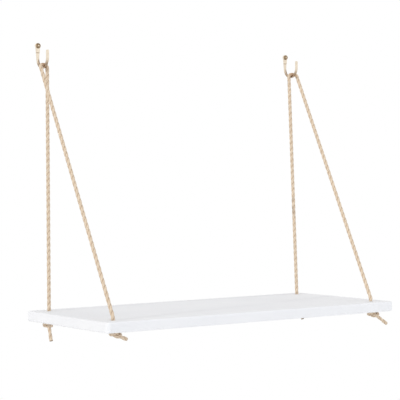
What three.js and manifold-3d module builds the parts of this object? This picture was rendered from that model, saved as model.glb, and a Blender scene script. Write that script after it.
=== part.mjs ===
// Hanging rope shelf: one board on two ropes, each rope laid over a bent brass hook on the wall.
// Sizes are in millimetres. +X runs along the wall, +Y into the wall and +Z up.
// The origin lies on the wall, midway between the two hook screws.

import * as THREE from 'three';
import { mergeVertices } from 'three/addons/utils/BufferGeometryUtils.js';
import Module from 'manifold-3d';

const wasm = await Module();
wasm.setup();

// Board
const BOARD_LENGTH = 610;
const BOARD_DEPTH = 286;
const BOARD_THICKNESS = 18;
const BOARD_CORNER_RADIUS = 8;
const BOARD_ARRIS_RADIUS = 2.4;
const BOARD_TOP_DROP = 471;

// Rope holes in the board
const HOLE_DIAMETER = 9.2;
const HOLE_END_INSET = 29;
const HOLE_EDGE_INSET = 31;
const HOLE_RIM_CHAMFER = 0.6;

// Hooks: a flat eye on the wall, a tapering stem, a half-round bend and an upright arm
const EYE_RADIUS = 5;
const EYE_THICKNESS = 3.6;
const EYE_SHOULDER_DROP = 12.6;
const EYE_SHOULDER_WIDTH = 6.4;
const STRIP_WIDTH = 5;
const STRIP_THICKNESS = 2.8;
const STRIP_EDGE_RADIUS = 0.5;
const BEND_INNER_RADIUS = 17.3;
const BEND_CENTRE_DROP = 21.9;
const TIP_DROP = 9.8;
const TIP_CORNER_RADIUS = 1.7;

// Round-headed screws
const SCREW_HEAD_DIAMETER = 9.4;
const SCREW_HEAD_HEIGHT = 3.4;
const SCREW_SHANK_DIAMETER = 4;
const SCREW_LENGTH = 30;
const SCREW_POINT_LENGTH = 6;
const SCREW_RECESS_WIDTH = 1.1;
const SCREW_RECESS_SPAN = 4.4;
const SCREW_RECESS_DEPTH = 1.5;

// Rope
const ROPE_DIAMETER = 6.2;
const ROPE_BEND_RADIUS = 8;
const LEG_REACH = 14;

// Stopper knots: the rope is squeezed thinner in them; the entry lead is an angle in radians
const KNOT_ROPE_DIAMETER = 5.6;
const KNOT_RING_RADIUS = 6.9;
const KNOT_WEAVE_RADIUS = 3.1;
const KNOT_ENTRY_LEAD = 0.1;
const TAIL_LEAD = 3;
const LEFT_FRONT_TAIL = 13.5;
const LEFT_BACK_TAIL = 26;
const RIGHT_FRONT_TAIL = 25.5;
const RIGHT_BACK_TAIL = 22;

// Clearances between pieces that touch in use
const SEAT_CLEARANCE = 0.3;
const SLIDE_CLEARANCE = 0.3;
const SHANK_CLEARANCE = 0.3;
const BOARD_CLEARANCE = 0.3;
const CUP_LIP = 0.2;
const OVERRUN = 4;

// Facet counts
const ROPE_SIDES = 12;
const ROUND_SEGMENTS = 32;
const DOME_SEGMENTS = 8;
const CORNER_SEGMENTS = 4;
const ARRIS_SEGMENTS = 2;
const EDGE_SEGMENTS = 1;
const EYE_SEGMENTS = 10;
const BEND_SEGMENTS = 14;
const SADDLE_STEPS = 7;
const FLARE_STEPS = 5;
const RUN_STEPS = 4;
const KNOT_STEPS_PER_TURN = 26;
const TAIL_STEPS = 8;

// How each knot is turned about its hole, and how its tail swings aside and droops, in radians
const KNOTS = [
  {
    name: 'left_front_knot', side: -1, edge: 'front',
    turn: 0.45, tail: LEFT_FRONT_TAIL, swing: -0.7, droop: 0.4,
  },
  {
    name: 'left_back_knot', side: -1, edge: 'back',
    turn: -0.75, tail: LEFT_BACK_TAIL, swing: 2.3, droop: 1.45,
  },
  {
    name: 'right_front_knot', side: 1, edge: 'front',
    turn: 0.45, tail: RIGHT_FRONT_TAIL, swing: -0.5, droop: 0.67,
  },
  {
    name: 'right_back_knot', side: 1, edge: 'back',
    turn: -1.05, tail: RIGHT_BACK_TAIL, swing: 0.3, droop: 1.2,
  },
];

// Places worked out from the sizes
const ropeRadius = ROPE_DIAMETER / 2;
const knotRopeRadius = KNOT_ROPE_DIAMETER / 2;
const pivotX = BOARD_LENGTH / 2 - HOLE_END_INSET;
const boardBottomZ = -BOARD_TOP_DROP - BOARD_THICKNESS;
const holeY = {
  back: -HOLE_EDGE_INSET,
  front: -BOARD_DEPTH + HOLE_EDGE_INSET,
};
const footRadius = ropeRadius + CUP_LIP;
const pivotZ = -BOARD_TOP_DROP + footRadius + BOARD_CLEARANCE;
const bendMidRadius = BEND_INNER_RADIUS + STRIP_THICKNESS / 2;
const bendCentreY = -STRIP_THICKNESS - BEND_INNER_RADIUS;
const saddleBend = STRIP_EDGE_RADIUS + SEAT_CLEARANCE + ropeRadius;
const saddleFlat = STRIP_WIDTH / 2 - STRIP_EDGE_RADIUS;
const saddleRise = STRIP_THICKNESS / 2 - STRIP_EDGE_RADIUS;

const materials = {
  paint: { color: 0xf2f3f5, roughness: 0.55, metalness: 0 },
  brass: { color: 0xd9c08a, roughness: 0.22, metalness: 1 },
  screw: { color: 0xb08a4c, roughness: 0.3, metalness: 1 },
  rope: { color: 0xdcc3a2, roughness: 0.95, metalness: 0 },
};

const vector = (x, y, z) => new THREE.Vector3(x, y, z);

// Joining and cutting closed meshes

function toSolid(geometry) {
  const bare = geometry.clone();
  bare.deleteAttribute('normal');
  bare.deleteAttribute('uv');
  const merged = mergeVertices(bare);
  const mesh = new wasm.Mesh({
    numProp: 3,
    vertProperties: Float32Array.from(merged.attributes.position.array),
    triVerts: Uint32Array.from(merged.index.array),
  });
  return new wasm.Manifold(mesh);
}

function toGeometry(solid) {
  const mesh = solid.getMesh();
  const geometry = new THREE.BufferGeometry();
  geometry.setAttribute('position', new THREE.BufferAttribute(mesh.vertProperties, 3));
  geometry.setIndex(new THREE.BufferAttribute(mesh.triVerts, 1));
  geometry.computeVertexNormals();
  return geometry;
}

// A round bar along Y, as long as the board is deep and some more, through (x, y, z)
function barAlongY(radius, x, z) {
  const length = BOARD_DEPTH * 2;
  const bar = new THREE.CylinderGeometry(radius, radius, length, ROUND_SEGMENTS * 2);
  bar.translate(x, -BOARD_DEPTH / 2, z);
  return toSolid(bar);
}

// A tube whose rings stand on the given points
class Route extends THREE.Curve {
  constructor(points) {
    super();
    this.points = points;
  }

  getPoint(t, target = new THREE.Vector3()) {
    const place = t * (this.points.length - 1);
    const index = Math.min(Math.floor(place), this.points.length - 2);
    return target.lerpVectors(this.points[index], this.points[index + 1], place - index);
  }

  getUtoTmapping(u) {
    return u;
  }

  getTangent(t, target = new THREE.Vector3()) {
    const index = Math.round(t * (this.points.length - 1));
    const here = this.points[index];
    const before = this.points[Math.max(index - 1, 0)];
    const after = this.points[Math.min(index + 1, this.points.length - 1)];
    const incoming = here.clone().sub(before).normalize();
    const outgoing = after.clone().sub(here).normalize();
    return target.copy(incoming).add(outgoing).normalize();
  }
}

function ropeTube(points, radius) {
  const section = new THREE.Shape();
  for (let side = 0; side < ROPE_SIDES; side += 1) {
    const angle = (side / ROPE_SIDES) * Math.PI * 2;
    const x = radius * Math.cos(angle);
    const y = radius * Math.sin(angle);
    if (side === 0) section.moveTo(x, y);
    else section.lineTo(x, y);
  }
  const options = { steps: points.length - 1, bevelEnabled: false, extrudePath: new Route(points) };
  return new THREE.ExtrudeGeometry(section, options);
}

function bendPoints(start, corner, end, steps) {
  return new THREE.QuadraticBezierCurve3(start, corner, end).getPoints(steps);
}

// Board: a rounded plank with softened arrises and four chamfered rope holes; its back rests on the wall

function boardOutline() {
  const x = BOARD_LENGTH / 2;
  const front = -BOARD_DEPTH;
  const r = BOARD_CORNER_RADIUS;
  const outline = new THREE.Shape();
  outline.moveTo(-x + r, front);
  outline.lineTo(x - r, front);
  outline.absarc(x - r, front + r, r, -Math.PI / 2, 0);
  outline.lineTo(x, -r);
  outline.absarc(x - r, -r, r, 0, Math.PI / 2);
  outline.lineTo(-x + r, 0);
  outline.absarc(-x + r, -r, r, Math.PI / 2, Math.PI);
  outline.lineTo(-x, front + r);
  outline.absarc(-x + r, front + r, r, Math.PI, Math.PI * 1.5);
  return outline;
}

function holeCutter(x, y) {
  const r = HOLE_DIAMETER / 2;
  const wide = r + HOLE_RIM_CHAMFER + OVERRUN;
  const profile = [
    new THREE.Vector2(0, -OVERRUN),
    new THREE.Vector2(wide, -OVERRUN),
    new THREE.Vector2(r, HOLE_RIM_CHAMFER),
    new THREE.Vector2(r, BOARD_THICKNESS - HOLE_RIM_CHAMFER),
    new THREE.Vector2(wide, BOARD_THICKNESS + OVERRUN),
    new THREE.Vector2(0, BOARD_THICKNESS + OVERRUN),
  ];
  const cutter = new THREE.LatheGeometry(profile, ROUND_SEGMENTS);
  cutter.rotateX(Math.PI / 2);
  cutter.translate(x, y, boardBottomZ);
  return toSolid(cutter);
}

function shelfBoard() {
  const options = {
    depth: BOARD_THICKNESS - BOARD_ARRIS_RADIUS * 2,
    bevelThickness: BOARD_ARRIS_RADIUS,
    bevelSize: BOARD_ARRIS_RADIUS,
    bevelOffset: -BOARD_ARRIS_RADIUS,
    bevelSegments: ARRIS_SEGMENTS,
    curveSegments: CORNER_SEGMENTS,
  };
  const plank = new THREE.ExtrudeGeometry(boardOutline(), options);
  plank.translate(0, 0, boardBottomZ + BOARD_ARRIS_RADIUS);
  let solid = toSolid(plank);
  for (const side of [-1, 1]) {
    for (const y of [holeY.front, holeY.back]) {
      solid = solid.subtract(holeCutter(side * pivotX, y));
    }
  }
  return toGeometry(solid);
}

// Hook: flat pieces cut to their front outline, and the half-round bend swept between them

function flatPiece(outline, thickness) {
  const options = {
    depth: thickness - STRIP_EDGE_RADIUS * 2,
    bevelThickness: STRIP_EDGE_RADIUS,
    bevelSize: STRIP_EDGE_RADIUS,
    bevelOffset: -STRIP_EDGE_RADIUS,
    bevelSegments: EDGE_SEGMENTS,
    curveSegments: EYE_SEGMENTS,
  };
  const piece = new THREE.ExtrudeGeometry(outline, options);
  piece.rotateX(Math.PI / 2);
  piece.translate(0, -STRIP_EDGE_RADIUS, 0);
  return piece;
}

// The eye's outline runs round the screw and down straight sides to the shoulder
function eyeOutline() {
  const half = EYE_SHOULDER_WIDTH / 2;
  const reach = Math.hypot(half, EYE_SHOULDER_DROP);
  const lean = Math.acos(EYE_RADIUS / reach) - Math.atan2(half, EYE_SHOULDER_DROP);
  const tangent = Math.PI / 2 - lean;
  const outline = new THREE.Shape();
  outline.moveTo(-half, -EYE_SHOULDER_DROP);
  outline.lineTo(half, -EYE_SHOULDER_DROP);
  outline.absarc(0, 0, EYE_RADIUS, -tangent, Math.PI + tangent);
  outline.closePath();
  return outline;
}

function stemOutline() {
  const wide = EYE_SHOULDER_WIDTH / 2;
  const narrow = STRIP_WIDTH / 2;
  const top = -EYE_SHOULDER_DROP + EYE_RADIUS;
  const outline = new THREE.Shape();
  outline.moveTo(-wide, top);
  outline.lineTo(-wide, -EYE_SHOULDER_DROP);
  outline.lineTo(-narrow, -BEND_CENTRE_DROP);
  outline.lineTo(-narrow, -BEND_CENTRE_DROP - STRIP_EDGE_RADIUS);
  outline.lineTo(narrow, -BEND_CENTRE_DROP - STRIP_EDGE_RADIUS);
  outline.lineTo(narrow, -BEND_CENTRE_DROP);
  outline.lineTo(wide, -EYE_SHOULDER_DROP);
  outline.lineTo(wide, top);
  outline.closePath();
  return outline;
}

function armOutline() {
  const half = STRIP_WIDTH / 2;
  const r = TIP_CORNER_RADIUS;
  const outline = new THREE.Shape();
  outline.moveTo(-half, -BEND_CENTRE_DROP - STRIP_EDGE_RADIUS);
  outline.lineTo(half, -BEND_CENTRE_DROP - STRIP_EDGE_RADIUS);
  outline.lineTo(half, -TIP_DROP - r);
  outline.absarc(half - r, -TIP_DROP - r, r, 0, Math.PI / 2);
  outline.absarc(-half + r, -TIP_DROP - r, r, Math.PI / 2, Math.PI);
  outline.closePath();
  return outline;
}

// The bend's side profile is a half ring; its edges are rounded like those of the flat pieces
function bendPiece() {
  const inner = BEND_INNER_RADIUS;
  const outer = BEND_INNER_RADIUS + STRIP_THICKNESS;
  const profile = new THREE.Shape();
  profile.absarc(0, 0, outer, 0, Math.PI, false);
  profile.absarc(0, 0, inner, Math.PI, 0, true);
  profile.closePath();
  const options = {
    depth: STRIP_WIDTH - STRIP_EDGE_RADIUS * 2,
    bevelThickness: STRIP_EDGE_RADIUS,
    bevelSize: STRIP_EDGE_RADIUS,
    bevelOffset: -STRIP_EDGE_RADIUS,
    bevelSegments: EDGE_SEGMENTS,
    curveSegments: BEND_SEGMENTS,
  };
  const piece = new THREE.ExtrudeGeometry(profile, options);
  piece.translate(0, 0, -STRIP_WIDTH / 2 + STRIP_EDGE_RADIUS);
  piece.applyMatrix4(new THREE.Matrix4().makeBasis(vector(0, 1, 0), vector(0, 0, -1), vector(-1, 0, 0)));
  return piece;
}

function hook() {
  const eye = toSolid(flatPiece(eyeOutline(), EYE_THICKNESS));
  const stem = toSolid(flatPiece(stemOutline(), STRIP_THICKNESS));
  const arm = flatPiece(armOutline(), STRIP_THICKNESS);
  arm.translate(0, -STRIP_THICKNESS - BEND_INNER_RADIUS * 2, 0);
  const bend = bendPiece();
  bend.translate(0, bendCentreY, -BEND_CENTRE_DROP);
  const boreRadius = SCREW_SHANK_DIAMETER / 2 + SHANK_CLEARANCE;
  const bore = new THREE.CylinderGeometry(boreRadius, boreRadius, EYE_THICKNESS * 4, ROUND_SEGMENTS);
  const solid = eye.add(stem).add(toSolid(arm)).add(toSolid(bend)).subtract(toSolid(bore));
  return toGeometry(solid);
}

// Screw: a domed head with a cross recess, a plain shank and a point

function hookScrew() {
  const seat = EYE_THICKNESS + SLIDE_CLEARANCE;
  const headRadius = SCREW_HEAD_DIAMETER / 2;
  const shankRadius = SCREW_SHANK_DIAMETER / 2;
  const profile = [new THREE.Vector2(0, seat - SCREW_LENGTH)];
  profile.push(new THREE.Vector2(shankRadius, seat - SCREW_LENGTH + SCREW_POINT_LENGTH));
  profile.push(new THREE.Vector2(shankRadius, seat));
  for (let step = 0; step < DOME_SEGMENTS; step += 1) {
    const angle = (step / DOME_SEGMENTS) * (Math.PI / 2);
    const y = seat + SCREW_HEAD_HEIGHT * Math.sin(angle);
    profile.push(new THREE.Vector2(headRadius * Math.cos(angle), y));
  }
  profile.push(new THREE.Vector2(0, seat + SCREW_HEAD_HEIGHT));
  const body = new THREE.LatheGeometry(profile, ROUND_SEGMENTS);
  body.rotateX(Math.PI);
  let solid = toSolid(body);
  const recessDepth = SCREW_RECESS_DEPTH * 2;
  for (const [width, height] of [
    [SCREW_RECESS_SPAN, SCREW_RECESS_WIDTH],
    [SCREW_RECESS_WIDTH, SCREW_RECESS_SPAN],
  ]) {
    const slot = new THREE.BoxGeometry(width, recessDepth, height);
    slot.translate(0, -seat - SCREW_HEAD_HEIGHT, 0);
    solid = solid.subtract(toSolid(slot));
  }
  return toGeometry(solid);
}

// The rope rests on the bend where it leans as far as the mean of its two runs

function seatPlace(lean) {
  return {
    y: bendCentreY - bendMidRadius * Math.sin(lean),
    z: -BEND_CENTRE_DROP - bendMidRadius * Math.cos(lean),
  };
}

function runAngle(seat, edge) {
  return Math.atan2(seat.y - holeY[edge], seat.z - pivotZ);
}

function ropeSeat() {
  let lean = 0;
  for (let round = 0; round < 6; round += 1) {
    const guess = seatPlace(lean);
    lean = (runAngle(guess, 'front') + runAngle(guess, 'back')) / 2;
  }
  const place = seatPlace(lean);
  const slant = (runAngle(place, 'front') - runAngle(place, 'back')) / 2;
  return { ...place, lean, slant };
}

const seat = ropeSeat();

// The rope's turn over the strip keeps one distance from the strip's rounded section.
// Hand is 1 on the front run's side and -1 on the back run's; the angle is 0 on top and a right
// angle where the rope turns down.
function saddlePoint(side, hand, angle) {
  const along = hand * Math.tan(seat.slant) * (saddleFlat + saddleBend * angle);
  const up = saddleRise + saddleBend * Math.cos(angle);
  const x = side * (pivotX + hand * (saddleFlat + saddleBend * Math.sin(angle)));
  const y = seat.y + up * Math.sin(seat.lean) - along * Math.cos(seat.lean);
  const z = seat.z + up * Math.cos(seat.lean) + along * Math.sin(seat.lean);
  return vector(x, y, z);
}

// The corner where a run would meet the straight line up from its hole
function runCorner(side, edge) {
  const half = Math.abs(runAngle(seat, edge)) / 2;
  return vector(side * pivotX, holeY[edge], pivotZ + ROPE_BEND_RADIUS * Math.tan(half));
}

function runTop(side, edge) {
  return saddlePoint(side, edge === 'front' ? 1 : -1, Math.PI / 2);
}

function ropeSaddle(side) {
  const points = [];
  for (let step = -SADDLE_STEPS; step <= SADDLE_STEPS; step += 1) {
    const angle = (Math.abs(step) / SADDLE_STEPS) * (Math.PI / 2);
    if (step === 0) points.push(saddlePoint(side, -1, angle));
    points.push(saddlePoint(side, step < 0 ? -1 : 1, angle));
  }
  const legs = ['back', 'front'].map((edge) => {
    const top = runTop(side, edge);
    const down = runCorner(side, edge).sub(top).normalize();
    return top.addScaledVector(down, LEG_REACH + OVERRUN);
  });
  const tube = toSolid(ropeTube([legs[0], ...points, legs[1]], ropeRadius));
  return toGeometry(tube.intersect(barAlongY(LEG_REACH, side * pivotX, seat.z)));
}

// A run is straight from the hook to the board, and bends upright just above its hole.
// Its upper end is hollowed round the hook's strip and its foot is rounded about the hole's pivot.

function ropeRun(side, edge) {
  const corner = runCorner(side, edge);
  const top = runTop(side, edge);
  const up = top.clone().sub(corner).normalize();
  const start = vector(corner.x, corner.y, pivotZ);
  const bendEnd = corner.clone().addScaledVector(up, corner.z - pivotZ);
  const points = [vector(corner.x, corner.y, pivotZ - footRadius - OVERRUN)];
  points.push(...bendPoints(start, corner, bendEnd, FLARE_STEPS));
  for (let step = 1; step <= RUN_STEPS; step += 1) {
    points.push(new THREE.Vector3().lerpVectors(bendEnd, top, step / RUN_STEPS));
  }
  const x = side * pivotX;
  const hollow = barAlongY(LEG_REACH + SLIDE_CLEARANCE, x, seat.z);
  const above = new THREE.BoxGeometry(BOARD_LENGTH, BOARD_DEPTH * 2, BOARD_TOP_DROP);
  above.translate(x, -BOARD_DEPTH / 2, pivotZ + BOARD_TOP_DROP / 2);
  const keep = toSolid(above).add(barAlongY(footRadius, x, pivotZ));
  return toGeometry(toSolid(ropeTube(points, ropeRadius)).intersect(keep).subtract(hollow));
}

// Overhand knot: the rope drops through the middle of a three-lobed weave, follows it round,
// and leaves it from below as the tail

function weavePoint(t) {
  const ring = KNOT_RING_RADIUS + KNOT_WEAVE_RADIUS * Math.cos(3 * t);
  return vector(ring * Math.cos(2 * t), ring * Math.sin(2 * t), KNOT_WEAVE_RADIUS * Math.sin(3 * t));
}

function knotPoints(knot) {
  const first = Math.PI / 3 - KNOT_ENTRY_LEAD;
  const last = (Math.PI * 11) / 6;
  const entry = weavePoint(first);
  const middle = -BOARD_CLEARANCE - KNOT_WEAVE_RADIUS - knotRopeRadius;
  const depth = BOARD_THICKNESS - middle;
  const riser = [depth + OVERRUN * 2, depth / 2, KNOT_WEAVE_RADIUS + knotRopeRadius, KNOT_WEAVE_RADIUS / 2];
  const points = riser.map((z) => vector(entry.x, entry.y, z));
  const weave = [];
  const count = Math.round(KNOT_STEPS_PER_TURN * (last - first) / (Math.PI * 4 / 3));
  for (let step = 1; step <= count; step += 1) {
    weave.push(weavePoint(first + ((last - first) * step) / count));
  }
  const exit = weave[weave.length - 1];
  const heading = exit.clone().sub(weave[weave.length - 2]).setZ(0).normalize();
  const corner = exit.clone().addScaledVector(heading, TAIL_LEAD);
  heading.applyAxisAngle(vector(0, 0, 1), knot.swing).multiplyScalar(Math.cos(knot.droop));
  const end = corner.clone().addScaledVector(heading, knot.tail);
  end.z -= knot.tail * Math.sin(knot.droop);
  const tail = bendPoints(exit, corner, end, TAIL_STEPS).slice(1);
  const place = new THREE.Matrix4().makeRotationZ(knot.turn);
  const shift = entry.clone().applyMatrix4(place).negate();
  shift.add(vector(knot.side * pivotX, holeY[knot.edge], boardBottomZ)).setZ(boardBottomZ + middle);
  return [...points, ...weave, ...tail].map((point) => point.applyMatrix4(place).add(shift));
}

function stopperKnot(knot) {
  const tube = toSolid(ropeTube(knotPoints(knot), knotRopeRadius));
  const cup = barAlongY(footRadius + SLIDE_CLEARANCE, knot.side * pivotX, pivotZ);
  const above = new THREE.BoxGeometry(BOARD_LENGTH, BOARD_DEPTH * 2, BOARD_TOP_DROP);
  above.translate(knot.side * pivotX, -BOARD_DEPTH / 2, pivotZ + BOARD_TOP_DROP / 2);
  return toGeometry(tube.subtract(cup).subtract(toSolid(above)));
}

// The least gap between stretches of one rope that lie more than a turn apart along it
function leastGap(points) {
  const lengths = [0];
  for (let index = 1; index < points.length; index += 1) {
    lengths.push(lengths[index - 1] + points[index].distanceTo(points[index - 1]));
  }
  let least = Infinity;
  for (let i = 0; i < points.length; i += 1) {
    for (let j = i + 1; j < points.length; j += 1) {
      if (lengths[j] - lengths[i] > KNOT_ROPE_DIAMETER * Math.PI) {
        least = Math.min(least, points[i].distanceTo(points[j]) - KNOT_ROPE_DIAMETER);
      }
    }
  }
  return least;
}

// Scene graph

const group = new THREE.Group();

function addPiece(name, geometry, look, parent = group) {
  const mesh = new THREE.Mesh(geometry, new THREE.MeshStandardMaterial(materials[look]));
  mesh.name = name;
  parent.add(mesh);
}

addPiece('shelf_board', shelfBoard(), 'paint');

for (const [word, side] of [['left', -1], ['right', 1]]) {
  const bracket = new THREE.Group();
  bracket.position.x = side * pivotX;
  addPiece(`${word}_hook`, hook(), 'brass', bracket);
  addPiece(`${word}_hook_screw`, hookScrew(), 'screw', bracket);
  group.add(bracket);
  addPiece(`${word}_rope_saddle`, ropeSaddle(side), 'rope');
  addPiece(`${word}_front_run`, ropeRun(side, 'front'), 'rope');
  addPiece(`${word}_back_run`, ropeRun(side, 'back'), 'rope');
}

for (const knot of KNOTS) {
  addPiece(knot.name, stopperKnot(knot), 'rope');
  console.log(`${knot.name}: least gap to itself ${leastGap(knotPoints(knot)).toFixed(2)} mm`);
}

export default group;
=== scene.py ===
"""Hanging rope shelf: a white board on two cotton cords, each laid over a bent brass hook."""

import math
import bpy
from mathutils import Matrix, Vector


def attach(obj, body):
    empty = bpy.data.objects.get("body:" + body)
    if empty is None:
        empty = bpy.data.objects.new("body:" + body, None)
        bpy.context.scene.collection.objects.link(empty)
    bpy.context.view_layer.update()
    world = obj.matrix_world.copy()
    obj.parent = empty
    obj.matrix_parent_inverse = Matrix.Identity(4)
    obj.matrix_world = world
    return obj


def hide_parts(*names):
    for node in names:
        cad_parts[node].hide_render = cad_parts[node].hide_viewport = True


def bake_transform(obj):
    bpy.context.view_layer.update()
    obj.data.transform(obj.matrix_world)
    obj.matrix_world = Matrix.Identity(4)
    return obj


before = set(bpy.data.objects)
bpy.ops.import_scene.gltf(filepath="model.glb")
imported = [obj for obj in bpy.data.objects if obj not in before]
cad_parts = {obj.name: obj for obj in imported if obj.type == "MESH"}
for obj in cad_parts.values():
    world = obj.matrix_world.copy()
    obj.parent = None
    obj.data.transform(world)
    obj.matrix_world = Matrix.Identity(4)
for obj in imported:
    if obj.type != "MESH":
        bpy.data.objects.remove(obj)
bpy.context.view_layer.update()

MM = 0.001
RIGHT_ANGLE = math.pi / 2
FULL_TURN = 2 * math.pi

# Camera, set to the photograph's standpoint
CAMERA_PLACE = (-1449.3 * MM, -2273.2 * MM, -247.7 * MM)
CAMERA_YAW, CAMERA_PITCH, CAMERA_ROLL = 33.735, 0.692, -0.731
CAMERA_LENS = 128.15
CAMERA_REACH = 50
SENSOR_WIDTH = 36

# Board and its rope holes
BOARD_LENGTH = 610 * MM
BOARD_DEPTH = 286 * MM
BOARD_THICKNESS = 18 * MM
BOARD_TOP_DROP = 471 * MM
HOLE_END_INSET = 29 * MM
HOLE_EDGE_INSET = 31 * MM
BOARD_CLEARANCE = 0.3 * MM

# Hook strip and the cord's seat on it
EYE_SHOULDER_DROP = 12.6 * MM
STRIP_WIDTH = 5 * MM
STRIP_THICKNESS = 2.8 * MM
STRIP_EDGE_RADIUS = 0.5 * MM
BEND_INNER_RADIUS = 17.3 * MM
BEND_CENTRE_DROP = 21.9 * MM
SEAT_CLEARANCE = 0.3 * MM
SEAT_ROUNDS = 6
SADDLE_STEPS = 12

# How much wider than the strip needs a cord leaves its hook, on the left (-1) and right (1)
FRONT_SPREAD = {-1: 1.7 * MM, 1: 4.2 * MM}
BACK_SPREAD = {-1: 1.6 * MM, 1: 0.8 * MM}

# Cord: two strands laid right-handed
CORD_RADIUS = 3.1 * MM
STRAND_RADIUS = 2.8 * MM
STRAND_OFFSET = 0.65 * MM
LAY_LENGTH = 23 * MM
CORD_BEND_RADIUS = 8 * MM
BEND_STEPS = 8
CUP_LIP = 0.2 * MM

# How far a cord's ends bulge, start and end, as shares of its radius
HUNG_END_ROUNDING = (0.9, 0.9)
TIED_END_ROUNDING = (0.9, 0.35)

# How finely a cord is drawn
FIRST_STRAND = Vector((1, 0, 0))
RING_SPACING = 0.9 * MM
RING_SIDES = 24
DOME_STEPS = 4
NARROWEST_SHARE = 0.02
SMOOTHING_ROUNDS = 2
SAME_POINT_SHARE = 0.02

# Stopper knots, drawn tight: the cord presses into itself
KNOT_CORD_RADIUS = 2.8 * MM
KNOT_WEAVE_RADIUS = 2.5 * MM
KNOT_LEAN_DIRECTION = Vector((0.8, -0.6, 0))
WEAVE_LEAD = 0.1
WEAVE_START = math.pi / 3 - WEAVE_LEAD
WEAVE_END = math.pi * 11 / 6
WEAVE_STEPS = 90
SQUEEZE_LENGTH = 6 * MM
TAIL_LEAD = 3.5 * MM
TAIL_SWELL = 1.04
TAIL_SWELL_LENGTH = 11 * MM
DARK_TIP_LENGTH = 1.6 * MM

# ring: the weave's radius; turn: of the whole knot; lean: how much lower on the tail's side;
# tail: its length past the knot; swing and droop: its way, sideways and down
KNOTS = {
    "left_front_knot": dict(
        side=-1,
        edge="front",
        ring=6.3 * MM,
        turn=1.35,
        lean=0.3,
        tail=21 * MM,
        swing=-1.1,
        droop=0.36,
    ),
    "left_back_knot": dict(
        side=-1,
        edge="back",
        ring=5.4 * MM,
        turn=-1.24,
        lean=0,
        tail=25.6 * MM,
        swing=-0.12,
        droop=1.32,
    ),
    "right_front_knot": dict(
        side=1,
        edge="front",
        ring=6.8 * MM,
        turn=0.76,
        lean=0.2,
        tail=25.2 * MM,
        swing=-0.89,
        droop=0.64,
    ),
    "right_back_knot": dict(
        side=1,
        edge="back",
        ring=6.3 * MM,
        turn=-1.17,
        lean=0,
        tail=23.3 * MM,
        swing=0,
        droop=1.09,
    ),
}

# Sockets of the colour mix node, whose names occur more than once
MIX_AMOUNT, MIX_FIRST, MIX_SECOND, MIX_RESULT = 0, 6, 7, 2

# Colours and polish
WHITE = (1, 1, 1, 1)
POLISH_FINER, POLISH_COARSER = 0.06, 0.08
PAINT_DULL, PAINT_LIGHT = (0.845, 0.848, 0.872, 1), (0.872, 0.874, 0.894, 1)
HOOK_LIGHT, HOOK_DARK = (0.86, 0.755, 0.61, 1), (0.74, 0.635, 0.51, 1)
# Tarnish with painted shade and dark reflection in the hook's bend; a painted shadow under its
# shoulder
HOOK_TARNISH_AND_SHADE = (0.34, 0.23, 0.145, 1)
SCREW_LIGHT, SCREW_DARK = (0.42, 0.31, 0.20, 1), (0.22, 0.145, 0.08, 1)
# A painted highlight in the middle of each screw head
SCREW_RECESS_HIGHLIGHT = (0.86, 0.755, 0.61, 1)
CORD_DARK, CORD_LIGHT = (0.735, 0.6, 0.455, 1), (0.79, 0.667, 0.52, 1)
CORD_BETWEEN_YARNS = (0.65, 0.507, 0.374, 1)
# Painted shade in the groove between the cord's strands
CORD_GROOVE_SHADE = (0.485, 0.352, 0.244, 1)
# Painted shade under the hook where the cord lies on it, with some rubbed dirt
CORD_RUB_AND_SHADE = (0.50, 0.31, 0.185, 1)
CUT_DARK, CUT_LIGHT = (0.14, 0.10, 0.075, 1), (0.30, 0.21, 0.14, 1)
FLOOR_COLOUR = (0.97, 0.97, 0.97, 1)

# Painted shade and highlight, partly tarnish and rubbed dirt: where each mark has faded out and
# where it is full
SEAM_SHADOW_REACH = 0.5 * MM
STEM_FADE = 2 * MM
BEND_TARNISH_AND_SHADE_STRENGTH = 0.8
BEND_TARNISH_AND_SHADE_CLEAR, BEND_TARNISH_AND_SHADE_FULL = 5 * MM, 12 * MM
INSIDE_TARNISH_AND_SHADE_FULL = 5 * MM
TARNISH_AND_SHADE_SIDE_CLEAR, TARNISH_AND_SHADE_SIDE_FULL = -0.9 * MM, 0.1 * MM
UPWARD_CLEAR, UPWARD_FULL = 0.01, 0.04
RECESS_HIGHLIGHT_CLEAR, RECESS_HIGHLIGHT_FULL = 1.55 * MM, 1.3 * MM
RUB_AND_SHADE_STRENGTH = 0.75
RUB_AND_SHADE_CLEAR, RUB_AND_SHADE_FULL = 9 * MM, 5 * MM

# Wall, floor and light
WALL_SIZE = 1.6
WALL_GAP = 0.4 * MM
FLOOR_DROP = 0.95
FLOOR_RADIUS = 1.2
FLOOR_SIDES = 96
FLOOR_ROUGHNESS = 0.9
RIM_START, RIM_END = 0.55 * FLOOR_RADIUS, 0.98 * FLOOR_RADIUS
AMBIENT_STRENGTH = 0.8
AMBIENT_LEAN = (0.22, -0.19, -0.05)
KEY_DIRECTION = Vector((2.2, 0.02, -1))
KEY_COLOUR = (1, 0.99, 0.96)
KEY_STRENGTH = 1.2
KEY_ANGLE = 0.3
FILL_DIRECTION = Vector((0.1, 1, -0.25))
FILL_COLOUR = (0.8, 0.9, 1)
FILL_STRENGTH = 0.35
FILL_ANGLE = 60

# Places worked out from the sizes
hole_x = BOARD_LENGTH / 2 - HOLE_END_INSET
hole_y = {"back": -HOLE_EDGE_INSET, "front": -BOARD_DEPTH + HOLE_EDGE_INSET}
board_bottom = -BOARD_TOP_DROP - BOARD_THICKNESS
pivot_z = -BOARD_TOP_DROP + CORD_RADIUS + CUP_LIP + BOARD_CLEARANCE
bend_middle = BEND_INNER_RADIUS + STRIP_THICKNESS / 2
bend_centre_y = -STRIP_THICKNESS - BEND_INNER_RADIUS


# ---------------------------------------------------------------- nodes


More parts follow.
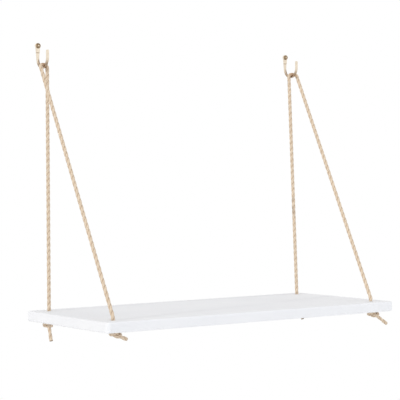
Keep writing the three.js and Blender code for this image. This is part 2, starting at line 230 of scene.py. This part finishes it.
def place(tree, kind, inputs=None, **settings):
    """A new node, with its inputs set to values or joined to other nodes."""
    made = tree.nodes.new(kind)
    for name, value in settings.items():
        setattr(made, name, value)
    for name, value in (inputs or {}).items():
        target = made.inputs[name]
        if isinstance(value, bpy.types.NodeSocket):
            tree.links.new(value, target)
        else:
            target.default_value = value
    return made


def add(tree, first, second):
    return place(tree, "ShaderNodeMath", {0: first, 1: second}, operation="ADD").outputs[0]


def times(tree, first, second):
    return place(tree, "ShaderNodeMath", {0: first, 1: second}, operation="MULTIPLY").outputs[0]


def larger(tree, first, second):
    return place(tree, "ShaderNodeMath", {0: first, 1: second}, operation="MAXIMUM").outputs[0]


def parts_of(tree, vector):
    return place(tree, "ShaderNodeSeparateXYZ", {0: vector}).outputs


def object_spot(tree):
    return place(tree, "ShaderNodeTexCoord").outputs["Object"]


def length_of(tree, vector):
    return place(tree, "ShaderNodeVectorMath", {0: vector}, operation="LENGTH").outputs["Value"]


def band_mask(tree, value, clear, full):
    """0 where a value is at clear, rising to 1 at full and past it."""
    band = place(tree, "ShaderNodeMapRange", {"Value": value, "From Min": clear, "From Max": full})
    return band.outputs["Result"]


def mix_colours(tree, amount, first, second):
    given = {MIX_AMOUNT: amount, MIX_FIRST: first, MIX_SECOND: second}
    return place(tree, "ShaderNodeMix", given, data_type="RGBA").outputs[MIX_RESULT]


def mix_surfaces(tree, amount, first, second):
    given = {0: amount, 1: first.outputs[0], 2: second.outputs[0]}
    return place(tree, "ShaderNodeMixShader", given)


def rise(tree, height, strength, distance):
    bump = place(
        tree, "ShaderNodeBump", {"Height": height, "Strength": strength, "Distance": distance}
    )
    return bump.outputs["Normal"]


def new_group(name, inputs, outputs):
    group = bpy.data.node_groups.new(name, "ShaderNodeTree")
    for label, kind, value in inputs:
        socket = group.interface.new_socket(name=label, in_out="INPUT", socket_type=kind)
        if value is not None:
            socket.default_value = value
    for label, kind in outputs:
        group.interface.new_socket(name=label, in_out="OUTPUT", socket_type=kind)
    return group, group.nodes.new("NodeGroupInput"), group.nodes.new("NodeGroupOutput")


def make_mottle_group():
    """Cloudy unevenness: a value from Low to High that drifts over the surface."""
    group, given, out = new_group(
        "mottle",
        [
            ("Vector", "NodeSocketVector", None),
            ("Scale", "NodeSocketFloat", 40.0),
            ("Detail", "NodeSocketFloat", 3.0),
            ("Low", "NodeSocketFloat", 0.0),
            ("High", "NodeSocketFloat", 1.0),
        ],
        [("Value", "NodeSocketFloat")],
    )
    asked = given.outputs
    cloud = place(
        group,
        "ShaderNodeTexNoise",
        {"Vector": asked["Vector"], "Scale": asked["Scale"], "Detail": asked["Detail"]},
    )
    spread = place(
        group,
        "ShaderNodeMapRange",
        {
            "Value": cloud.outputs["Fac"],
            "From Min": 0.3,
            "From Max": 0.7,
            "To Min": asked["Low"],
            "To Max": asked["High"],
        },
    )
    group.links.new(spread.outputs["Result"], out.inputs["Value"])
    return group


def make_streak_group():
    """Fine streaks along one direction, as a height: brush marks, grain or fibres."""
    group, given, out = new_group(
        "streaks",
        [
            ("Vector", "NodeSocketVector", None),
            ("Across", "NodeSocketVector", (1.0, 1.0, 1.0)),
            ("Height", "NodeSocketFloat", 1.0),
        ],
        [("Value", "NodeSocketFloat")],
    )
    asked = given.outputs
    stretched = place(
        group,
        "ShaderNodeVectorMath",
        {0: asked["Vector"], 1: asked["Across"]},
        operation="MULTIPLY",
    ).outputs["Vector"]
    lines = place(
        group, "ShaderNodeTexNoise", {"Vector": stretched, "Scale": 1.0, "Detail": 4.0}
    )
    height = times(group, lines.outputs["Fac"], asked["Height"])
    group.links.new(height, out.inputs["Value"])
    return group


mottle_group = make_mottle_group()
streak_group = make_streak_group()


def mottle(tree, vector, scale, low=0.0, high=1.0, detail=3.0):
    made = place(
        tree,
        "ShaderNodeGroup",
        {"Vector": vector, "Scale": scale, "Detail": detail, "Low": low, "High": high},
        node_tree=mottle_group,
    )
    return made.outputs["Value"]


def streaks(tree, vector, across, height=1.0):
    made = place(
        tree,
        "ShaderNodeGroup",
        {"Vector": vector, "Across": across, "Height": height},
        node_tree=streak_group,
    )
    return made.outputs["Value"]


def node_of_type(tree, kind):
    return next(node for node in tree.nodes if node.type == kind)


def new_finish(name):
    finish = bpy.data.materials.new(name)
    finish.use_nodes = True
    return finish, finish.node_tree, node_of_type(finish.node_tree, "BSDF_PRINCIPLED")


# ---------------------------------------------------------------- finishes


def satin_white_paint():
    """Rolled satin paint with a faint grain running along the board."""
    finish, tree, shader = new_finish("satin_white_paint")
    spot = object_spot(tree)
    colour = mix_colours(tree, mottle(tree, spot, scale=9.0), PAINT_DULL, PAINT_LIGHT)
    roughness = mottle(tree, spot, scale=35.0, low=0.56, high=0.68)
    grain = streaks(tree, spot, across=(9.0, 420.0, 420.0), height=0.6)
    stipple = mottle(tree, spot, scale=900.0, high=0.5, detail=2.0)
    relief = rise(tree, add(tree, grain, stipple), strength=0.25, distance=0.25 * MM)
    tree.links.new(colour, shader.inputs["Base Color"])
    tree.links.new(roughness, shader.inputs["Roughness"])
    tree.links.new(relief, shader.inputs["Normal"])
    shader.inputs["Specular IOR Level"].default_value = 0.15
    return finish


def from_hook_middle(tree, across):
    """How far right of its own hook's middle a place lies, for both hooks alike."""
    folded = place(
        tree, "ShaderNodeMath", {0: across, 1: 0.0, 2: -2 * hole_x}, operation="WRAP"
    ).outputs[0]
    return add(tree, folded, hole_x)


def tarnish_and_shade_mask(tree, spot):
    """Painted shadow under the shoulder step; tarnish with painted shade and dark reflection in
    the bend.
    """
    across, depth, height = parts_of(tree, spot)
    facing = place(tree, "ShaderNodeNewGeometry").outputs["Normal"]
    upward = parts_of(tree, facing)[2]
    centre = -BEND_CENTRE_DROP

    line = place(
        tree,
        "ShaderNodeMath",
        {0: height, 1: -EYE_SHOULDER_DROP, 2: SEAM_SHADOW_REACH},
        operation="COMPARE",
    ).outputs[0]
    on_stem = band_mask(tree, depth, bend_centre_y, bend_centre_y + STEM_FADE)
    # A painted shadow line just under the shoulder step
    seam_shadow = times(tree, line, on_stem)

    # The bend's bottom and its inside: tarnish, with painted shade and dark reflection where the
    # cord sits
    bottom = band_mask(tree, height, centre - BEND_TARNISH_AND_SHADE_CLEAR, centre - BEND_TARNISH_AND_SHADE_FULL)
    bottom = times(tree, bottom, BEND_TARNISH_AND_SHADE_STRENGTH)

    low = band_mask(tree, height, centre, centre - INSIDE_TARNISH_AND_SHADE_FULL)
    inside = times(tree, band_mask(tree, upward, UPWARD_CLEAR, UPWARD_FULL), low)
    beside = from_hook_middle(tree, across)
    inside = times(tree, inside, band_mask(tree, beside, TARNISH_AND_SHADE_SIDE_CLEAR, TARNISH_AND_SHADE_SIDE_FULL))
    return larger(tree, larger(tree, bottom, inside), seam_shadow)


def recess_highlight_mask(tree, spot):
    """The middle of a screw head, where a pale highlight is painted in the recess."""
    across, _, height = parts_of(tree, spot)
    beside = from_hook_middle(tree, across)
    flat = place(tree, "ShaderNodeCombineXYZ", {0: beside, 2: height}).outputs[0]
    return band_mask(tree, length_of(tree, flat), RECESS_HIGHLIGHT_CLEAR, RECESS_HIGHLIGHT_FULL)


def brass(name, light, dark, roughness, brushed, painted_light_and_tarnish_mask, painted_light_and_tarnish):
    """Brushed brass with places from the mask in a colour of their own: tarnish and painted shade,
    or a painted highlight.
    """
    finish, tree, shader = new_finish(name)
    spot = object_spot(tree)
    colour = mix_colours(tree, mottle(tree, spot, scale=160.0), light, dark)
    # The mask's colour: tarnish and painted shade on a hook, a painted highlight on a screw
    colour = mix_colours(tree, painted_light_and_tarnish_mask(tree, spot), colour, painted_light_and_tarnish)
    finest, coarsest = roughness - POLISH_FINER, roughness + POLISH_COARSER
    polish = mottle(tree, spot, scale=420.0, low=finest, high=coarsest)
    lines = streaks(tree, spot, across=brushed)
    relief = rise(tree, lines, strength=0.12, distance=0.08 * MM)
    tree.links.new(colour, shader.inputs["Base Color"])
    tree.links.new(polish, shader.inputs["Roughness"])
    tree.links.new(relief, shader.inputs["Normal"])
    shader.inputs["Metallic"].default_value = 1
    return finish


def rub_and_shade_mask(tree, spot):
    """Where a cord lies on its hook: painted shade under the hook with some rubbed dirt, fading to
    0 round it.
    """
    folded = place(tree, "ShaderNodeVectorMath", {0: spot}, operation="ABSOLUTE").outputs["Vector"]
    on_hook = (hole_x, -seat[0], -seat[1] - CORD_RADIUS)
    reach = place(
        tree, "ShaderNodeVectorMath", {0: folded, 1: on_hook}, operation="DISTANCE"
    ).outputs["Value"]
    return times(tree, band_mask(tree, reach, RUB_AND_SHADE_CLEAR, RUB_AND_SHADE_FULL), RUB_AND_SHADE_STRENGTH)


def cotton_cord():
    """Two-strand cotton cord: painted shade in the groove of the lay, with fine yarns along the
    cord.
    """
    finish, tree, shader = new_finish("cotton_cord")
    spot = object_spot(tree)
    uv = place(tree, "ShaderNodeUVMap", uv_map="lay").outputs["UV"]
    around, along, _ = parts_of(tree, uv)
    phase = place(tree, "ShaderNodeMath", {0: around}, operation="FRACT").outputs[0]
    half_turn = times(tree, phase, math.pi)
    crest = place(tree, "ShaderNodeMath", {0: half_turn}, operation="SINE").outputs[0]
    level = add(tree, around, times(tree, along, 2.0))
    yarn_spot = place(tree, "ShaderNodeCombineXYZ", {0: level, 1: along}).outputs[0]
    yarns = streaks(tree, yarn_spot, across=(14.0, 5.0, 1.0))

    colour = mix_colours(tree, mottle(tree, spot, scale=60.0), CORD_DARK, CORD_LIGHT)
    on_yarn = band_mask(tree, yarns, clear=0.35, full=0.6)
    colour = mix_colours(tree, on_yarn, CORD_BETWEEN_YARNS, colour)
    # Painted shade in the groove between the strands, fading out towards each strand's crest
    clear_of_groove_shade = band_mask(tree, crest, clear=0.06, full=0.5)
    colour = mix_colours(tree, clear_of_groove_shade, CORD_GROOVE_SHADE, colour)
    # Painted shade, with some rubbed dirt, where the cord lies on its hook
    colour = mix_colours(tree, rub_and_shade_mask(tree, spot), colour, CORD_RUB_AND_SHADE)
    relief = rise(tree, yarns, strength=0.8, distance=0.6 * MM)

    tree.links.new(colour, shader.inputs["Base Color"])
    tree.links.new(relief, shader.inputs["Normal"])
    shader.inputs["Roughness"].default_value = 0.95
    shader.inputs["Sheen Weight"].default_value = 0.15
    shader.inputs["Specular IOR Level"].default_value = 0.2
    return finish


def bound_cord_end():
    """The cut end of a cord, pressed together and darker."""
    finish, tree, shader = new_finish("bound_cord_end")
    spot = object_spot(tree)
    fibres = mottle(tree, spot, scale=900.0)
    roughness = mottle(tree, spot, scale=700.0, low=0.75, high=0.95)
    relief = rise(tree, fibres, strength=0.7, distance=0.5 * MM)
    colour = mix_colours(tree, fibres, CUT_DARK, CUT_LIGHT)
    tree.links.new(colour, shader.inputs["Base Color"])
    tree.links.new(roughness, shader.inputs["Roughness"])
    tree.links.new(relief, shader.inputs["Normal"])
    return finish


def dress(node, finish):
    """Gives every part of a CAD piece one finish."""
    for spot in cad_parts[node].material_slots:
        spot.material = finish


paint = satin_white_paint()
# Hook brass, with tarnish and painted shade in the bend and a painted shadow under the shoulder
hook_brass = brass(
    "polished_hook_brass",
    HOOK_LIGHT,
    HOOK_DARK,
    roughness=0.22,
    brushed=(60.0, 60.0, 900.0),
    painted_light_and_tarnish_mask=tarnish_and_shade_mask,
    painted_light_and_tarnish=HOOK_TARNISH_AND_SHADE,
)
# Screw brass, with a painted highlight in the middle of each head
screw_brass = brass(
    "aged_screw_brass",
    SCREW_LIGHT,
    SCREW_DARK,
    roughness=0.3,
    brushed=(500.0, 500.0, 500.0),
    painted_light_and_tarnish_mask=recess_highlight_mask,
    painted_light_and_tarnish=SCREW_RECESS_HIGHLIGHT,
)

dress("shelf_board", paint)
for word in ("left", "right"):
    dress(f"{word}_hook", hook_brass)
    dress(f"{word}_hook_screw", screw_brass)


# ---------------------------------------------------------------- cord routes


def seat_place(lean):
    """The strip's middle, as y and z, where the bend has turned by lean from its bottom."""
    return (
        bend_centre_y - bend_middle * math.sin(lean),
        -BEND_CENTRE_DROP - bend_middle * math.cos(lean),
    )


def run_angle(place_yz, edge):
    """How far from upright a cord from that edge's hole to the place slants."""
    return math.atan2(place_yz[0] - hole_y[edge], place_yz[1] - pivot_z)


def cord_seat():
    """Where the cord rests on the hook, how far that place leans, and the cord's slant there."""
    lean = 0
    for _ in range(SEAT_ROUNDS):
        guess = seat_place(lean)
        lean = (run_angle(guess, "front") + run_angle(guess, "back")) / 2
    spot = seat_place(lean)
    slant = (run_angle(spot, "front") - run_angle(spot, "back")) / 2
    return spot, lean, slant


seat, seat_lean, seat_slant = cord_seat()
saddle_bend = STRIP_EDGE_RADIUS + SEAT_CLEARANCE + CORD_RADIUS
saddle_flat = STRIP_WIDTH / 2 - STRIP_EDGE_RADIUS
saddle_rise = STRIP_THICKNESS / 2 - STRIP_EDGE_RADIUS


def saddle_point(side, hand, angle):
    """On the cord's way over the strip: angle 0 on top, a right angle where it turns down."""
    along = hand * math.tan(seat_slant) * (saddle_flat + saddle_bend * angle)
    up = saddle_rise + saddle_bend * math.cos(angle)
    spread = (FRONT_SPREAD if hand > 0 else BACK_SPREAD)[side]
    out = saddle_flat + (saddle_bend + spread) * math.sin(angle)
    return Vector(
        (
            side * (hole_x + hand * out),
            seat[0] + up * math.sin(seat_lean) - along * math.cos(seat_lean),
            seat[1] + up * math.cos(seat_lean) + along * math.sin(seat_lean),
        )
    )


def curve_between(start, corner, end, steps):
    points = []
    for step in range(steps + 1):
        t = step / steps
        points.append(start * (1 - t) ** 2 + corner * (2 * t * (1 - t)) + end * t**2)
    return points


def run_route(side, edge):
    """From the hole's pivot up to the hook."""
    half = abs(run_angle(seat, edge)) / 2
    bend_height = CORD_BEND_RADIUS * math.tan(half)
    start = Vector((side * hole_x, hole_y[edge], pivot_z))
    corner = Vector((side * hole_x, hole_y[edge], pivot_z + bend_height))
    top = saddle_point(side, 1 if edge == "front" else -1, RIGHT_ANGLE)
    up = (top - corner).normalized()
    bend_end = corner + up * (corner.z - pivot_z)
    return curve_between(start, corner, bend_end, BEND_STEPS) + [top]


def hung_route(side):
    """Up from the back hole, over the hook and down to the front hole."""
    quarter = [RIGHT_ANGLE * step / SADDLE_STEPS for step in range(SADDLE_STEPS)]
    rising = [saddle_point(side, -1, angle) for angle in quarter[::-1]]
    falling = [saddle_point(side, 1, angle) for angle in quarter]
    return run_route(side, "back") + rising + falling + run_route(side, "front")[::-1]


def weave_point(ring, t):
    """On an overhand knot about the origin; the whole knot takes t from 0 to a full turn."""
    out = ring + KNOT_WEAVE_RADIUS * math.cos(3 * t)
    height = KNOT_WEAVE_RADIUS * math.sin(3 * t)
    return Vector((out * math.cos(2 * t), out * math.sin(2 * t), height))


def leaned(point, lean):
    """Lower towards the tail's side: the tail's weight tips the knot."""
    return point - Vector((0, 0, lean * point.dot(KNOT_LEAN_DIRECTION)))


def knot_route(side, edge, ring, turn, lean, tail, swing, droop):
    """Down through the hole, once round the overhand weave and out as the tail."""
    turned = Matrix.Rotation(turn, 3, "Z")
    weave = []
    for step in range(WEAVE_STEPS + 1):
        t = WEAVE_START + (WEAVE_END - WEAVE_START) * step / WEAVE_STEPS
        weave.append(leaned(turned @ weave_point(ring, t), lean))
    entry, leaving = weave[0], weave[-1]

    highest = max(point.z for point in weave)
    middle = -BOARD_CLEARANCE - highest - KNOT_CORD_RADIUS
    top = pivot_z - board_bottom - middle
    levels = [top, top / 2, highest + KNOT_CORD_RADIUS, (highest + entry.z) / 2]
    points = [Vector((entry.x, entry.y, z)) for z in levels] + weave[1:]

    onward = (leaving - weave[-2]).normalized()
    corner = leaving + onward * TAIL_LEAD
    level = onward.xy.to_3d().normalized()
    heading = Matrix.Rotation(swing, 3, "Z") @ level * math.cos(droop)
    heading.z = -math.sin(droop)
    points += curve_between(leaving, corner, corner + heading * TAIL_LEAD, BEND_STEPS)[1:]
    points.append(corner + heading * tail)

    knot_middle = Vector((side * hole_x, hole_y[edge], board_bottom + middle))
    shift = knot_middle - entry.xy.to_3d()
    return [point + shift for point in points]


# ---------------------------------------------------------------- cord making


cord = cotton_cord()
cord_end = bound_cord_end()


class Ring:
    """One ring of a cord; share is how much of the cord's radius it keeps."""

    def __init__(self, point, direction, facing, along, share=1.0):
        self.point, self.direction, self.facing = point, direction, facing
        self.along, self.share = along, share


def evenly(points, spacing):
    """The same route with rounded corners and even steps."""
    route = [points[0]]
    for point in points[1:]:
        if (point - route[-1]).length > spacing * SAME_POINT_SHARE:
            route.append(point)
    lengths = [0.0]
    for index in range(1, len(route)):
        lengths.append(lengths[-1] + (route[index] - route[index - 1]).length)
    count = max(2, round(lengths[-1] / spacing))
    even, index = [], 0
    for step in range(count + 1):
        along = lengths[-1] * step / count
        while index < len(route) - 2 and lengths[index + 1] < along:
            index += 1
        share = (along - lengths[index]) / (lengths[index + 1] - lengths[index])
        even.append(route[index].lerp(route[index + 1], share))
    for _ in range(SMOOTHING_ROUNDS):
        middle = [(even[i - 1] + even[i] * 2 + even[i + 1]) / 4 for i in range(1, len(even) - 1)]
        even = [even[0], *middle, even[-1]]
    return even, lengths[-1] / count


def travelling_frames(route, first_strand):
    """The direction at each point, and a sideways one that is carried along without twist."""
    directions = []
    for index in range(len(route)):
        before, after = route[max(index - 1, 0)], route[min(index + 1, len(route) - 1)]
        directions.append((after - before).normalized())
    along_first = directions[0] * first_strand.dot(directions[0])
    facings = [(first_strand - along_first).normalized()]
    for before, after in zip(directions, directions[1:]):
        facings.append(before.rotation_difference(after) @ facings[-1])
    return directions, facings


def rounded_end(ring, sign, reach):
    """Narrowing rings that close one end of a cord."""
    dome = []
    for step in range(1, DOME_STEPS + 1):
        angle = RIGHT_ANGLE * step / DOME_STEPS
        out = sign * reach * math.sin(angle)
        share = max(math.cos(angle), NARROWEST_SHARE)
        point = ring.point + ring.direction * out
        dome.append(Ring(point, ring.direction, ring.facing, ring.along + out, share))
    return dome


def twist_at(ring):
    return FULL_TURN * ring.along / LAY_LENGTH


def strand_radius(angle, cord_radius):
    """From the cord's middle to the outside of its two strands, at an angle round it."""
    shape = STRAND_OFFSET * abs(math.cos(angle))
    shape += math.sqrt(STRAND_RADIUS**2 - (STRAND_OFFSET * math.sin(angle)) ** 2)
    return shape * cord_radius / CORD_RADIUS


def ring_corners(ring, cord_radius):
    across = ring.direction.cross(ring.facing)
    twist = twist_at(ring)
    corners = []
    for corner in range(RING_SIDES):
        angle = FULL_TURN * corner / RING_SIDES + RIGHT_ANGLE
        way = ring.facing * math.cos(angle + twist) + across * math.sin(angle + twist)
        corners.append(ring.point + way * strand_radius(angle, cord_radius) * ring.share)
    return corners


def skin(rings):
    """Faces round the rings, and each corner's mark: strands round, lays along."""
    faces, marks = [], []
    for index in range(len(rings) - 1):
        low, high = index * RING_SIDES, (index + 1) * RING_SIDES
        near, far = rings[index].along / LAY_LENGTH, rings[index + 1].along / LAY_LENGTH
        for corner in range(RING_SIDES):
            following = (corner + 1) % RING_SIDES
            faces.append((low + corner, low + following, high + following, high + corner))
            start, stop = 2 * corner / RING_SIDES, 2 * (corner + 1) / RING_SIDES
            marks.append([(start, near), (stop, near), (stop, far), (start, far)])
    last = (len(rings) - 1) * RING_SIDES
    faces.append(tuple(range(RING_SIDES))[::-1])
    faces.append(tuple(range(last, last + RING_SIDES)))
    for ring in (rings[0], rings[-1]):
        marks.append([(0.5, ring.along / LAY_LENGTH)] * RING_SIDES)
    return faces, marks


def lay_cord(name, points, first_strand, radius_at, end_rounding):
    """A closed two-strand cord along the points, and its strand's direction at the end."""
    route, step = evenly(points, RING_SPACING)
    total = step * (len(route) - 1)
    directions, facings = travelling_frames(route, first_strand)
    rings = [
        Ring(point, direction, facing, step * index)
        for index, (point, direction, facing) in enumerate(zip(route, directions, facings))
    ]
    last = rings[-1]
    start_cap = rounded_end(rings[0], -1, end_rounding[0] * radius_at(0, total))
    end_cap = rounded_end(last, 1, end_rounding[1] * radius_at(total, total))
    rings = start_cap[::-1] + rings + end_cap

    vertices = []
    for ring in rings:
        vertices += ring_corners(ring, radius_at(min(max(ring.along, 0), total), total))
    faces, marks = skin(rings)
    mesh = bpy.data.meshes.new(name)
    mesh.from_pydata(vertices, [], faces)
    uv = mesh.uv_layers.new(name="lay")
    uv.data.foreach_set("uv", [value for face in marks for mark in face for value in mark])
    mesh.polygons.foreach_set("use_smooth", [True] * len(faces))
    mesh.materials.append(cord)
    mesh.materials.append(cord_end)
    mesh.update()
    piece = bpy.data.objects.new(name, mesh)
    bpy.context.scene.collection.objects.link(piece)

    twist = twist_at(last)
    across = last.direction.cross(last.facing)
    return piece, last.facing * math.cos(twist) + across * math.sin(twist)


def even_cord(along, total):
    return CORD_RADIUS


def knot_cord(along, total):
    """Squeezed in the knot, full again in the tail."""
    squeezed = min(along / SQUEEZE_LENGTH, 1)
    freed = max(0, 1 - (total - along) / TAIL_SWELL_LENGTH)
    radius = CORD_RADIUS + (KNOT_CORD_RADIUS - CORD_RADIUS) * squeezed
    return radius + (CORD_RADIUS * TAIL_SWELL - KNOT_CORD_RADIUS) * freed


def darken_tip(piece, length):
    """Gives the cut end of a tail its own finish."""
    mesh = piece.data
    marks = mesh.uv_layers["lay"].data
    start = max(mark.uv[1] for mark in marks) - length / LAY_LENGTH
    for face in mesh.polygons:
        if min(marks[corner].uv[1] for corner in face.loop_indices) > start:
            face.material_index = 1


for word, side in (("left", -1), ("right", 1)):
    hung, front_strand = lay_cord(
        f"{word}_hung_cord", hung_route(side), FIRST_STRAND, even_cord, HUNG_END_ROUNDING
    )
    nodes = [f"{word}_rope_saddle", f"{word}_back_run", f"{word}_front_run"]
    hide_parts(*nodes)
    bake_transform(hung)
    for edge, strand in (("back", FIRST_STRAND), ("front", front_strand)):
        node = f"{word}_{edge}_knot"
        tied, _ = lay_cord(
            f"{node}_cord", knot_route(**KNOTS[node]), strand, knot_cord, TIED_END_ROUNDING
        )
        darken_tip(tied, DARK_TIP_LENGTH)
        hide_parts(node)
        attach(tied, "board_and_knots")


# ---------------------------------------------------------------- wall, floor, light and camera


def seen_rays(tree):
    """1 for rays that show the background, 0 for those that light the object."""
    ray = place(tree, "ShaderNodeLightPath").outputs
    seen = larger(tree, ray["Is Camera Ray"], ray["Is Glossy Ray"])
    return larger(tree, seen, ray["Is Transmission Ray"])


def white_glow(tree):
    return place(tree, "ShaderNodeEmission", {"Color": WHITE, "Strength": 1.0})


def seen_through(tree):
    return place(tree, "ShaderNodeBsdfTransparent")


def from_behind(tree):
    return place(tree, "ShaderNodeNewGeometry").outputs["Backfacing"]


def wall_plane():
    """The wall's face, white and seen only from its front, so that the screws go into it."""
    centre = (0, WALL_GAP, -BOARD_TOP_DROP / 2)
    bpy.ops.object.select_all(action="DESELECT")
    bpy.ops.mesh.primitive_plane_add(size=WALL_SIZE, location=centre)
    wall = bpy.context.object
    wall.name = "wall_face"
    bpy.ops.object.mode_set(mode="EDIT")
    bpy.ops.mesh.select_all(action="SELECT")
    bpy.ops.transform.rotate(value=-RIGHT_ANGLE, orient_axis="X", center_override=centre)
    bpy.ops.object.mode_set(mode="OBJECT")
    finish, tree, shader = new_finish("wall_face")
    front = place(
        tree, "ShaderNodeMath", {0: 1.0, 1: from_behind(tree)}, operation="SUBTRACT"
    ).outputs[0]
    shown = times(tree, seen_rays(tree), front)
    surface = mix_surfaces(tree, shown, seen_through(tree), white_glow(tree))
    tree.links.new(surface.outputs[0], node_of_type(tree, "OUTPUT_MATERIAL").inputs["Surface"])
    tree.nodes.remove(shader)
    wall.data.materials.append(finish)


def pale_floor():
    """A round pale floor whose rim melts into the white background, seen from above only."""
    bpy.ops.object.select_all(action="DESELECT")
    bpy.ops.mesh.primitive_circle_add(
        vertices=FLOOR_SIDES,
        radius=FLOOR_RADIUS,
        fill_type="NGON",
        location=(0, -BOARD_DEPTH / 2, -FLOOR_DROP),
    )
    floor = bpy.context.object
    floor.name = "pale_floor"
    finish, tree, shader = new_finish("pale_floor")
    shader.inputs["Base Color"].default_value = FLOOR_COLOUR
    shader.inputs["Roughness"].default_value = FLOOR_ROUGHNESS
    rim = band_mask(tree, length_of(tree, object_spot(tree)), RIM_START, RIM_END)
    above = mix_surfaces(tree, rim, shader, white_glow(tree))
    surface = mix_surfaces(tree, from_behind(tree), above, seen_through(tree))
    tree.links.new(surface.outputs[0], node_of_type(tree, "OUTPUT_MATERIAL").inputs["Surface"])
    floor.data.materials.append(finish)


def soft_sun(name, direction, colour, strength, angle):
    bpy.ops.object.light_add(type="SUN")
    lamp = bpy.context.object
    lamp.name = name
    lamp.rotation_euler = direction.to_track_quat("-Z", "Y").to_euler()
    lamp.data.color = colour
    lamp.data.energy = strength
    lamp.data.angle = math.radians(angle)


def white_surroundings():
    """White where it is seen; the light from it is a little stronger on the side it leans to."""
    world = bpy.data.worlds.new("white_studio")
    bpy.context.scene.world = world
    world.use_nodes = True
    tree = world.node_tree
    backdrop = node_of_type(tree, "BACKGROUND")
    backdrop.inputs["Color"].default_value = WHITE
    backdrop.inputs["Strength"].default_value = 1.0
    way = place(tree, "ShaderNodeTexCoord").outputs["Generated"]
    lean = place(
        tree, "ShaderNodeVectorMath", {0: way, 1: AMBIENT_LEAN}, operation="DOT_PRODUCT"
    ).outputs["Value"]
    strength = times(tree, add(tree, lean, 1.0), AMBIENT_STRENGTH)
    ambient = place(tree, "ShaderNodeBackground", {"Color": WHITE, "Strength": strength})
    surface = mix_surfaces(tree, seen_rays(tree), ambient, backdrop)
    tree.links.new(surface.outputs[0], node_of_type(tree, "OUTPUT_WORLD").inputs["Surface"])


def photo_camera():
    bpy.ops.object.camera_add(location=CAMERA_PLACE)
    camera = bpy.context.object
    camera.name = "photo_camera"
    turned = Matrix.Rotation(math.radians(-CAMERA_YAW), 3, "Z")
    turned = turned @ Matrix.Rotation(math.radians(90 - CAMERA_PITCH), 3, "X")
    turned = turned @ Matrix.Rotation(math.radians(CAMERA_ROLL), 3, "Z")
    camera.rotation_euler = turned.to_euler()
    camera.data.sensor_width = SENSOR_WIDTH
    camera.data.lens = CAMERA_LENS
    camera.data.clip_end = CAMERA_REACH
    bpy.context.scene.camera = camera


wall_plane()
pale_floor()
soft_sun("key_light", KEY_DIRECTION, KEY_COLOUR, KEY_STRENGTH, KEY_ANGLE)
soft_sun("fill_light", FILL_DIRECTION, FILL_COLOUR, FILL_STRENGTH, FILL_ANGLE)
white_surroundings()
photo_camera()
bpy.context.scene.view_settings.view_transform = "Standard"
